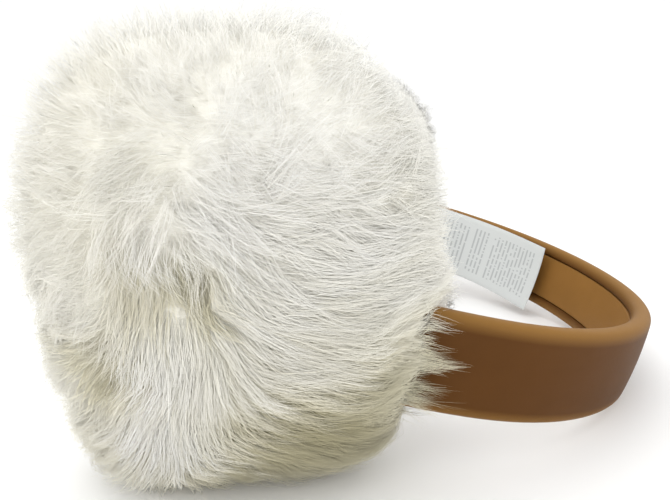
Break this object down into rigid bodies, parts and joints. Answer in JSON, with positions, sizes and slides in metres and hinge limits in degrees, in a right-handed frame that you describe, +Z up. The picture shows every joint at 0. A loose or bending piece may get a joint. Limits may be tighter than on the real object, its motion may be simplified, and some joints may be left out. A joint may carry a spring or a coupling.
{
  "type": "fur earmuffs",
  "caption": "Padded leather headband bent over the crown, with a deep cream fur puff over each ear and a satin care ribbon inside one leg.",
  "frame": {"origin": "middle of the bounding box's base, on the surface that the earmuffs lie on", "axes": "+X from the ears towards the crown of the band, +Y across from one ear to the other, +Z up from the surface"},
  "size_m": [0.1684, 0.2576, 0.1116],
  "materials": {
    "band_leather": "smooth tan leather with a soft satin sheen",
    "lining_leather": "soft golden tan leather",
    "label_satin": "white satin ribbon",
    "fur": "cream long-haired fur"
  },
  "bodies": {
    "root": {"headband": "band_leather", "band_lining": "lining_leather", "care_label": "label_satin", "near_outer_fur": "fur", "near_ear_fur": "fur", "far_outer_fur": "fur", "far_ear_fur": "fur"}
  },
  "joints": []
}
